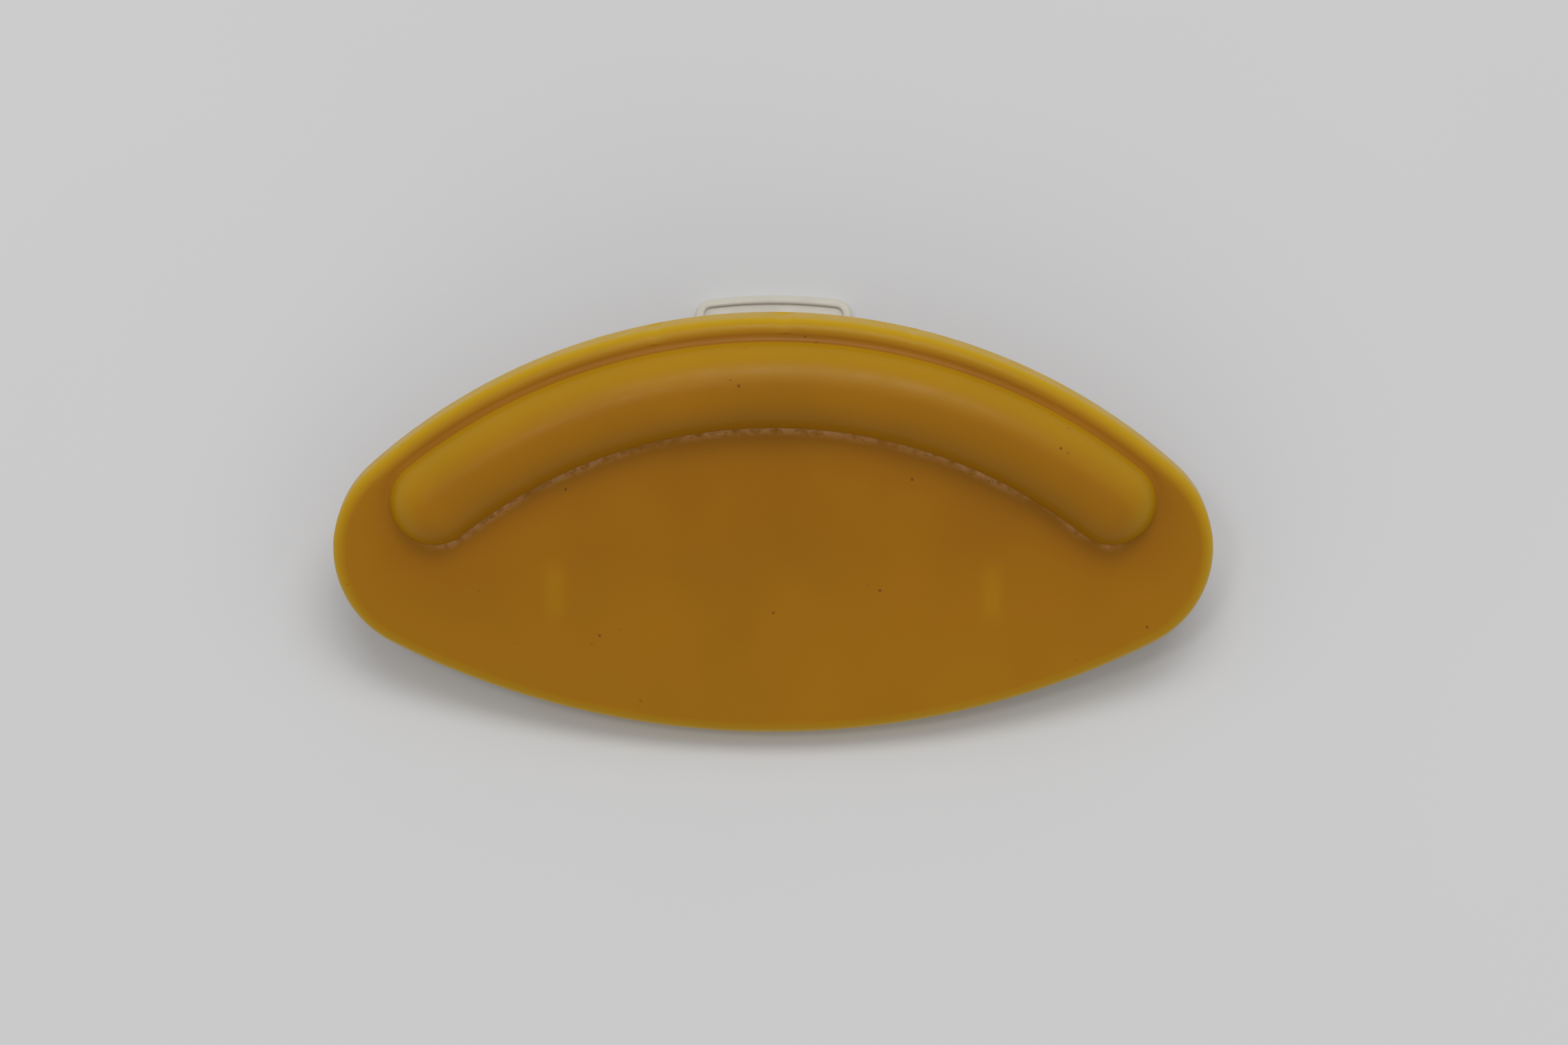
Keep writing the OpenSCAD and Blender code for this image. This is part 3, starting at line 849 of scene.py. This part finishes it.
def lever_sheet(lay):
    """The bent sheet of the lever: flat arm, curve round the coils, wall down to the bar."""
    lever, bm = lay.lever, bmesh.new()
    plan = [Vector((lay.cheek_out, 0))]
    plan += arc((lay.cheek_out, lay.tab_root[1]), lay.sweep_r, -90, -180, 18)
    sheet_of(bm, mirrored(plan + tip_outline(lever, 0)))
    bmesh.ops.translate(bm, verts=bm.verts, vec=(0, 0, -lever.web_back))
    edge = [e for e in bm.edges if all(abs(v.co.y) < NEAR for v in e.verts)]
    bent = spun(
        bm, edge + list(edge[0].verts), (0, 0, 0), (1, 0, 0), lay.wrap_dir - 270, WRAP_STEPS
    )
    edge = [g for g in bent if isinstance(g, BMEdge)]
    wall = bmesh.ops.extrude_edge_only(bm, edges=edge)["geom"]
    along = polar((0, 0), lay.wall_len, lay.wrap_dir - 90)
    verts = [g for g in wall if isinstance(g, BMVert)]
    bmesh.ops.translate(bm, verts=verts, vec=(0, along.x, along.y))
    agree(bm)
    if sum(f.normal.z for f in bm.faces) > 0:
        bmesh.ops.reverse_faces(bm, faces=bm.faces)
    bmesh.ops.solidify(bm, geom=bm.faces, thickness=lever.web_t)
    agree(bm)
    rounded(bm, sharp_edges(bm, 60), 0.35 * MM)
    cut_grooves(bm, lever)
    return bm


def flat_back(bm):
    """The faces of the lever's flat back, with the middle of each."""
    for f in bm.faces:
        middle = f.calc_center_median()
        if f.normal.z < -0.99 and middle.y > 0:
            yield f, middle


def cut_grooves(bm, lever):
    """Presses a row of grip grooves into the back of the finger tab."""
    half = lever.tab_w / 2 - lever.groove_side
    places = [lever.reach - lever.groove_tip - lever.groove_pitch * i for i in range(GROOVES)]
    cuts = [((s * half, 0, 0), (1, 0, 0)) for s in (-1, 1)]
    cuts += [((0, y + s * lever.groove_w / 2, 0), (0, 1, 0)) for y in places for s in (-1, 1)]
    for at, normal in cuts:
        back = [f for f, middle in flat_back(bm)]
        geom = back + list({e for f in back for e in f.edges} | {v for f in back for v in f.verts})
        bmesh.ops.bisect_plane(bm, geom=geom, dist=NEAR, plane_co=at, plane_no=normal)
    for y in places:
        strip = [
            f for f, middle in flat_back(bm)
            if abs(middle.y - y) < lever.groove_w / 3 and abs(middle.x) < half
            and max(v.co.z for v in f.verts) < -lever.web_back + NEAR
        ]
        bmesh.ops.inset_region(
            bm, faces=strip, thickness=lever.groove_w / 4, depth=-lever.groove_d,
            use_even_offset=True, use_boundary=True,
        )


def tab_bead(lay):
    """The raised bead round the tab, on the side that faces the front jaw."""
    lever, (root_x, root_y) = lay.lever, lay.tab_root
    outer = [Vector((root_x, root_y))] + tip_outline(lever, 0)
    inner = [Vector((root_x - lever.bead_w, root_y))] + tip_outline(lever, lever.bead_w)
    ring = mirrored(outer) + mirrored(inner)[::-1]
    low = lever.web_t - lever.web_back
    bead = slab(ring, low - SINK, low + lever.bead_h, 0.35 * MM)
    # Draft on the bead's inner wall, towards the middle of the tab
    draft, wall = 0.8 * MM, 0.75 * lever.bead_w
    middle = Vector((0, lever.reach - lever.tab_len * 0.6))
    for v in bead.verts:
        flat = Vector((v.co.x, v.co.y))
        if abs(flat.x) < root_x - wall and flat.y < lever.reach - wall and v.co.z < low:
            spot = flat + (middle - flat).normalized() * draft
            v.co = (spot.x, spot.y, v.co.z)
    return bead


def touching_dir(point, radius, side):
    """Direction in which a line from point touches a circle round the hinge axis."""
    p = Vector(point)
    return math.degrees(math.atan2(p.y, p.x) + side * math.acos(radius / p.length))


def cheek_mesh(lay):
    """A side cheek: round about the pin, running down to the arm and the rear jaw bar."""
    lever = lay.lever
    clear = 0.05 * MM  # keeps the cheek's outside out of the plane of the sheet's side
    mid = lever.web_back - lever.web_t / 2
    front = Vector((lay.tab_root[1] - lay.sweep_r, -mid))
    first = touching_dir(front, lever.cheek_r, 1)
    last = touching_dir(lay.bar_foot, lever.cheek_r, -1) % 360
    outline = arc((0, 0), lever.cheek_r, first, last, 20) + [lay.bar_foot]
    outline += arc((0, 0), mid, lay.wrap_dir, 270, WRAP_STEPS) + [front]
    return side_plate(outline, lever.cheek_t - 2 * clear, 0.4 * MM, [((0, 0), lay.bore_r)])


def rib_meshes(lay):
    """The stiffening ribs on the arm, as (mesh, place along the clip)."""
    lever, hinge = lay.lever, lay.hinge
    start = lever.web_back - lever.web_t
    low, top = -start - SINK, -start + lever.rib_h
    root_y = lay.tab_root[1]
    middle = [(start, low), (root_y + lever.rib_h, low), (root_y + lever.rib_h, -start),
              (root_y - lever.rib_h, top), (start, top)]
    side_x = hinge.coil_start + lay.coil_len + hinge.wire_d + 1.5 * lever.rib_t
    reach = lay.cheek_out - side_x - lever.rib_t / 2
    edge_y = root_y - math.sqrt(lay.sweep_r**2 - reach**2)
    side = [(start, low), (edge_y, low), (edge_y, -start), (start, top)]
    for outline, x in ((middle, 0), (side, side_x), (side, -side_x)):
        yield side_plate(outline, lever.rib_t, 0.3 * MM), x


def bar_mesh(lay):
    """The rear jaw bar, curved like the jaw's bottom edge, in the face's frame."""
    lever, bm = lay.lever, bmesh.new()
    front, back = -lay.pad_back, -lay.pad_back - lever.bar_t
    r, half_w = 0.5 * MM, lever.bar_w / 2
    section = [(0, front), (half_w / 2, front)]
    section += arc((half_w - r, front - r), r, 90, 0, 5)
    section += arc((half_w - r, back + r), r, 0, -90, 5)
    section += [(half_w / 2, back), (0, back)]
    stadium(bm, [Vector(p) for p in section], lay.low_c, lay.bar_line, -90, lay.bar_half)
    agree(bm)
    return bm


def pad_mesh(lay, base, grip):
    """A soft pad between two heights in the face's frame, ribbed on its grip side."""
    lever, bm = lay.lever, bmesh.new()
    out = 1 if grip > base else -1
    half_w, r, deep = lever.pad_w / 2, 0.3 * MM, lever.pad_groove
    steps, ribs_in_half, edge = 12, 2.5, 0.1 * MM
    section = [(0, base), (half_w - r / 2, base), (half_w, base + out * r / 2)]
    section += [(half_w, grip - out * 2 * r), (half_w - edge, grip - out * deep * 0.6)]
    for i in range(1, steps + 1):
        d = (half_w - edge) * (1 - i / steps)
        wave = 0.5 + 0.5 * math.cos(math.tau * ribs_in_half * d / half_w)
        section.append((d, grip - out * deep * wave))
    stadium(bm, [Vector(p) for p in section], lay.low_c, lay.bar_line, -90, lay.bar_half)
    agree(bm)
    return bm


# --- the pin, the ring, the spool and the springs --------------------------------------------


TURN_STEPS = 48  # faces round a turned piece


def turned(points):
    """A turned piece: (place along the clip, radius) spun round the hinge axis."""
    bm = bmesh.new()
    run = chain(bm, [(x, 0, r) for x, r in points])
    spun(bm, run, (0, 0, 0), (1, 0, 0), 360, TURN_STEPS, merge=True)
    bmesh.ops.remove_doubles(bm, verts=bm.verts, dist=WELD)
    agree(bm)
    return bm


def pin_mesh(lay):
    """The pin: domed head at one end, chamfered tip past a groove at the other."""
    head_r, pin_r = lay.hinge.head_r, lay.hinge.pin_r
    head, ring = -lay.ear_out, lay.ear_out + lay.hinge.ring_t
    flat, tip = head - lay.hinge.head_t, ring + lay.hinge.stub
    dome_h, groove, edge = 0.45 * lay.hinge.head_t, 0.12 * MM, 0.1 * MM
    # The dome, as shares of its height and of the head's radius
    dome = ((0, 0), (0, 0.35), (0.25, 0.68), (0.6, 0.87), (1, 0.97), (1.3, 1))
    points = [(flat + dome_h * up, head_r * out) for up, out in dome]
    points += [
        (head - edge, head_r), (head, head_r - edge), (head, pin_r), (ring, pin_r),
        (ring + groove, pin_r - groove), (ring + 3 * groove, pin_r - groove),
        (ring + 4 * groove, pin_r), (tip - 0.45 * MM, pin_r),
        (tip - edge, pin_r - 0.35 * MM), (tip, pin_r - 0.5 * MM), (tip, 0),
    ]
    return turned(points)


def ring_mesh(lay):
    """The push-on ring: a dished washer with teeth that bite on the pin."""
    hinge, base = lay.hinge, lay.ear_out
    bore, teeth_r = hinge.pin_r + 0.02 * MM, hinge.pin_r + 0.9 * MM
    sheet_t, teeth = 0.3 * MM, 6
    bm = turned([
        (base, hinge.ring_r), (base + 0.1 * MM, hinge.ring_r - 0.35 * MM),
        (base + 0.3 * MM, teeth_r), (base + hinge.ring_t - sheet_t, bore),
    ])
    slots = []
    for f in bm.faces:
        c = f.calc_center_median()
        step = round((math.atan2(c.z, c.y) / math.tau) * TURN_STEPS - 0.5)
        on_teeth = math.hypot(c.y, c.z) < (teeth_r + bore) / 2 + 0.1 * MM
        if on_teeth and step % (TURN_STEPS // teeth) == 0:
            slots.append(f)
    bmesh.ops.delete(bm, geom=slots, context="FACES")
    agree(bm)
    if sum(f.normal.x for f in bm.faces) > 0:
        bmesh.ops.reverse_faces(bm, faces=bm.faces)
    bmesh.ops.solidify(bm, geom=bm.faces, thickness=sheet_t)
    agree(bm)
    return bm


def spool_mesh(lay):
    """The sleeve that carries the coils, with a collar at each end of each coil."""
    hinge, end_gap = lay.hinge, 0.3 * MM
    sleeve = hinge.coil_r - hinge.wire_d / 2 - hinge.spool_gap
    collar = hinge.coil_r + hinge.wire_d / 4
    end = lay.cheek_out - lay.lever.cheek_t - end_gap
    inner = hinge.coil_start - hinge.wire_d
    outer = hinge.coil_start + lay.coil_len + hinge.wire_d
    r, waist = 0.25 * MM, 0.5 * MM

    def flank(x, side):
        """A collar's flank with a rounded top, climbing where side is 1."""
        top = arc((x + side * r, collar - r), r, 180 if side > 0 else 0, 90, 4)
        up = [Vector((x, sleeve))] + top
        return up if side > 0 else up[::-1]

    half = [Vector((0, collar - waist)), Vector((inner / 2, collar - waist)),
            Vector((inner / 2 + waist, collar))]
    half += flank(inner, -1) + flank(outer, 1) + flank(outer + hinge.collar_t, -1)
    half += [Vector((end - r, sleeve)), Vector((end, sleeve - r)), Vector((end, lay.bore_r))]
    run = [(-x, y) for x, y in reversed(half[1:])] + [tuple(p) for p in half]
    return turned(run + [run[0]])


def coil_path(lay, start, end):
    """Points along the right-hand coil, between two directions in degrees from its front leg."""
    hinge, spacing = lay.hinge, 9
    steps = max(2, round((end - start) / spacing))
    points = []
    for i in range(steps + 1):
        turn = start + (end - start) * i / steps
        at = polar((0, 0), hinge.coil_r, 90 + turn)
        x = hinge.coil_start + lay.coil_len * turn / lay.coil_sweep
        points.append(Vector((x, at.x, at.y)))
    return points


def spring_paths(lay):
    """The right-hand spring's front leg with most of the coil, and its rear leg with the rest.

    At rest the two overlap by the hinge's travel and a little more, so that no gap opens
    between them when the rear leg turns.
    """
    hinge, whole, travel = lay.hinge, lay.coil_sweep, JOINT["range_deg"][1]
    stop_short, run_on = 3, 8
    front = [Vector((hinge.coil_start, hinge.leg * far, hinge.coil_r)) for far in (1, 0.5)]
    front += coil_path(lay, 0, whole - travel - stop_short)
    rear = coil_path(lay, whole - 2 * travel - run_on, whole)
    along = polar((0, 0), hinge.leg, 180 + whole)
    rear += [rear[-1] + Vector((0, *along)) * far for far in (0.5, 1)]
    return front, rear


def wire_mesh(points, radius):
    """A round wire along a path, with slightly rounded ends."""
    sides, end_w, round_l = 14, 0.6, 0.18 * radius
    bm = bmesh.new()
    across = Vector((1, 0, 0))
    last = len(points) - 1
    rings = []
    places = [(0, end_w, 0), (0, 1, round_l)] + [(i, 1, 0) for i in range(1, last)]
    places += [(last, 1, -round_l), (last, end_w, 0)]
    for i, width, shift_on in places:
        ahead = (points[min(i + 1, last)] - points[max(i - 1, 0)]).normalized()
        up = ahead.cross(across).normalized()
        right = up.cross(ahead).normalized()
        rings.append([
            points[i] + ahead * shift_on + radius * width * (math.cos(a) * right + math.sin(a) * up)
            for a in (math.tau * k / sides for k in range(sides))
        ])
    verts = [bm.verts.new(p) for p in rings[0]]
    loop = [bm.edges.new(pair) for pair in round_pairs(verts)]
    bmesh.ops.contextual_create(bm, geom=loop)
    for ring in rings[1:]:
        made = bmesh.ops.extrude_edge_only(bm, edges=loop)["geom"]
        follow = {
            e.other_vert(v): v for v in made if isinstance(v, BMVert)
            for e in v.link_edges if e.other_vert(v) in verts
        }
        verts = [follow[v] for v in verts]
        for v, p in zip(verts, ring):
            v.co = p
        loop = [bm.edges.get(pair) for pair in round_pairs(verts)]
    bmesh.ops.contextual_create(bm, geom=loop)
    agree(bm)
    return bm


# --- operators -----------------------------------------------------------------------------


class CLIP_OT_front_jaw(bpy.types.Operator):
    """Builds the moulded front jaw"""

    bl_idname = "clip.front_jaw"
    bl_label = "Front jaw"

    def execute(self, context):
        lay = Layout(context.scene)
        material = yellow_plastic(context.scene.clip_colours, lay)
        piece("front_shell", front_jaw_mesh(lay), lay.face, FRONT, "yellow_plastic", material,
              "front_jaw")
        return {"FINISHED"}


class CLIP_OT_lever(bpy.types.Operator):
    """Builds the lever with its finger tab, cheeks, ribs and rear jaw bar"""

    bl_idname = "clip.lever"
    bl_label = "Lever"

    def execute(self, context):
        lay = Layout(context.scene)
        bm = lever_sheet(lay)
        merge_in(bm, tab_bead(lay))
        for side in (-1, 1):
            merge_in(bm, cheek_mesh(lay), shift(side * (lay.cheek_out - lay.lever.cheek_t / 2)))
        for rib, x in rib_meshes(lay):
            merge_in(bm, rib, shift(x))
        merge_in(bm, bar_mesh(lay), lay.level.inverted() @ lay.face)
        material = natural_plastic(context.scene.clip_colours)
        piece("lever", bm, lay.level, REAR, "natural_plastic", material, "rear_jaw")
        return {"FINISHED"}


class CLIP_OT_pads(bpy.types.Operator):
    """Builds the two ribbed rubber pads"""

    bl_idname = "clip.pads"
    bl_label = "Jaw pads"

    def execute(self, context):
        lay = Layout(context.scene)
        material = pad_rubber(context.scene.clip_colours)
        front_base = -lay.jaw.face_t
        meet = front_base - lay.lever.pad_t
        for end, base, body in (("front", front_base, FRONT), ("rear", -lay.pad_back, REAR)):
            bm = pad_mesh(lay, base, meet)
            piece(f"{end}_grip_pad", bm, lay.face, body, "pad_rubber", material, f"{end}_pad")
        return {"FINISHED"}


class CLIP_OT_pin(bpy.types.Operator):
    """Builds the hinge pin and the ring that holds it"""

    bl_idname = "clip.pin"
    bl_label = "Hinge pin and ring"

    def execute(self, context):
        lay, tones = Layout(context.scene), context.scene.clip_colours
        plated = steel("pin_steel", tones.pin, (0.05, 1, 1), 0.26, 0.8)
        bright = steel("ring_steel", tones.spring, (1, 1, 1), 0.24, 0.7)
        piece("pin", pin_mesh(lay), lay.level, FRONT, "pin_steel", plated, "hinge_pin")
        piece("push_on_ring", ring_mesh(lay), lay.level, FRONT, "spring_steel", bright,
              "pin_retainer")
        return {"FINISHED"}


class CLIP_OT_spool(bpy.types.Operator):
    """Builds the spool on the pin"""

    bl_idname = "clip.spool"
    bl_label = "Spring spool"

    def execute(self, context):
        lay = Layout(context.scene)
        material = spool_plastic(context.scene.clip_colours)
        piece("spool", spool_mesh(lay), lay.level, FRONT, "spool_plastic", material,
              "spring_spool")
        return {"FINISHED"}


class CLIP_OT_springs(bpy.types.Operator):
    """Builds the two torsion springs, each in a coil that stays and a leg that turns"""

    bl_idname = "clip.springs"
    bl_label = "Springs"

    def execute(self, context):
        lay = Layout(context.scene)
        wire = context.scene.clip_colours.spring
        material = steel("spring_steel", wire, (1, 1, 1), 0.2, 0.65)
        radius, cover = lay.hinge.wire_d / 2, 1.006
        coil, leg = spring_paths(lay)
        for side, hand in (("right", 1), ("left", -1)):
            for name, path, r, body in (
                (f"spring_coil_{side}", coil, radius, FRONT),
                (f"spring_leg_{side}", leg, radius * cover, REAR),
            ):
                bm = wire_mesh(path, r)
                bm.transform(Matrix.Scale(hand, 4, (1, 0, 0)))
                face_outwards(bm)
                piece(name, bm, lay.leaning, body, "spring_steel", material, f"spring_{side}")
        return {"FINISHED"}


# Lamps: name, setting of its power, direction from the aim, distance and width in metres
LAMPS = (
    ("key_right", "key_power", (0.26, 0.37, 1.0), 2.4, 1.0),
    ("key_left", "key_power", (-0.09, 0.37, 1.0), 2.4, 1.0),
    ("fill", "fill_power", (-0.25, -0.12, 1.0), 2.2, 0.34),
)
SENSOR_MM = 36
FLOOR_HALF = 3  # metres from the middle of the floor to its edge


class CLIP_OT_stage(bpy.types.Operator):
    """Sets up the floor, the lamps and the camera"""

    bl_idname = "clip.stage"
    bl_label = "Floor, lamps and camera"

    def execute(self, context):
        scene = context.scene
        stage = scene.clip_stage
        lay_floor(scene.clip_colours)
        aim = Vector(stage.aim)
        for name, power, towards, distance, width in LAMPS:
            hang_lamp(name, getattr(stage, power), aim, Vector(towards), distance, width)
        world = bpy.data.worlds.new("studio")
        world.use_nodes = True
        sky = world.node_tree.nodes["Background"]
        sky.inputs["Color"].default_value = (1, 1, 1, 1)
        sky.inputs["Strength"].default_value = stage.sky
        scene.world = world
        lens = bpy.data.cameras.new("camera")
        lens.lens = stage.lens
        lens.sensor_width = SENSOR_MM
        camera = bpy.data.objects.new("camera", lens)
        scene.collection.objects.link(camera)
        distance = stage.view_w * stage.lens / SENSOR_MM
        back = Vector((0, -math.cos(stage.elevation), math.sin(stage.elevation)))
        camera.location = aim + back * distance
        camera.rotation_euler = (math.pi / 2 - stage.elevation, 0, 0)
        scene.camera = camera
        scene.view_settings.view_transform = "Standard"
        return {"FINISHED"}


def lay_floor(colours):
    """A wide pale floor with the faintest mottling."""
    bm = bmesh.new()
    bmesh.ops.create_grid(bm, x_segments=1, y_segments=1, size=FLOOR_HALF)
    mesh = bpy.data.meshes.new("floor")
    bm.to_mesh(mesh)
    bm.free()
    s = Shader("floor_paper")
    mottle = s.ramp(s.clouds(6, detail=3), 0.3, 0.7)
    base = s.mix(mottle, toned(colours.floor, 0.985), toned(colours.floor, 1.01))
    mesh.materials.append(s.finish(base, 0.75))
    floor = bpy.data.objects.new("floor", mesh)
    bpy.context.scene.collection.objects.link(floor)


def hang_lamp(name, power, aim, towards, distance, width):
    """A soft round lamp in a direction from what it lights, facing it."""
    lamp = bpy.data.lights.new(name, "AREA")
    lamp.shape = "DISK"
    lamp.size = width
    lamp.energy = power
    obj = bpy.data.objects.new(name, lamp)
    bpy.context.scene.collection.objects.link(obj)
    obj.location = aim + towards.normalized() * distance
    obj.rotation_euler = towards.to_track_quat("Z", "Y").to_euler()


class CLIP_PT_panel(bpy.types.Panel):
    """Lists the clip's pieces in the sidebar"""

    bl_label = "Spring clip"
    bl_idname = "CLIP_PT_panel"
    bl_space_type = "VIEW_3D"
    bl_region_type = "UI"
    bl_category = "Spring clip"

    def draw(self, context):
        for operator in OPERATORS:
            self.layout.operator(operator.bl_idname)
        for group in GROUPS:
            box = self.layout.box()
            box.label(text=group)
            settings = getattr(context.scene, group)
            for name in settings.__annotations__:
                box.prop(settings, name)


OPERATORS = (
    CLIP_OT_stage, CLIP_OT_front_jaw, CLIP_OT_lever, CLIP_OT_pads, CLIP_OT_pin,
    CLIP_OT_spool, CLIP_OT_springs,
)
GROUPS = {
    "clip_front": FrontJawSizes,
    "clip_lever": LeverSizes,
    "clip_hinge": HingeSizes,
    "clip_colours": ClipColours,
    "clip_stage": StageSettings,
}


def register():
    for cls in (*GROUPS.values(), *OPERATORS, CLIP_PT_panel):
        bpy.utils.register_class(cls)
    for name, cls in GROUPS.items():
        setattr(bpy.types.Scene, name, bpy.props.PointerProperty(type=cls))


def unregister():
    for name in GROUPS:
        delattr(bpy.types.Scene, name)
    for cls in (CLIP_PT_panel, *reversed(OPERATORS), *reversed(GROUPS.values())):
        bpy.utils.unregister_class(cls)


def main():
    register()
    for operator in OPERATORS:
        family, name = operator.bl_idname.split(".")
        getattr(getattr(bpy.ops, family), name)()


if __name__ == "__main__":
    main()
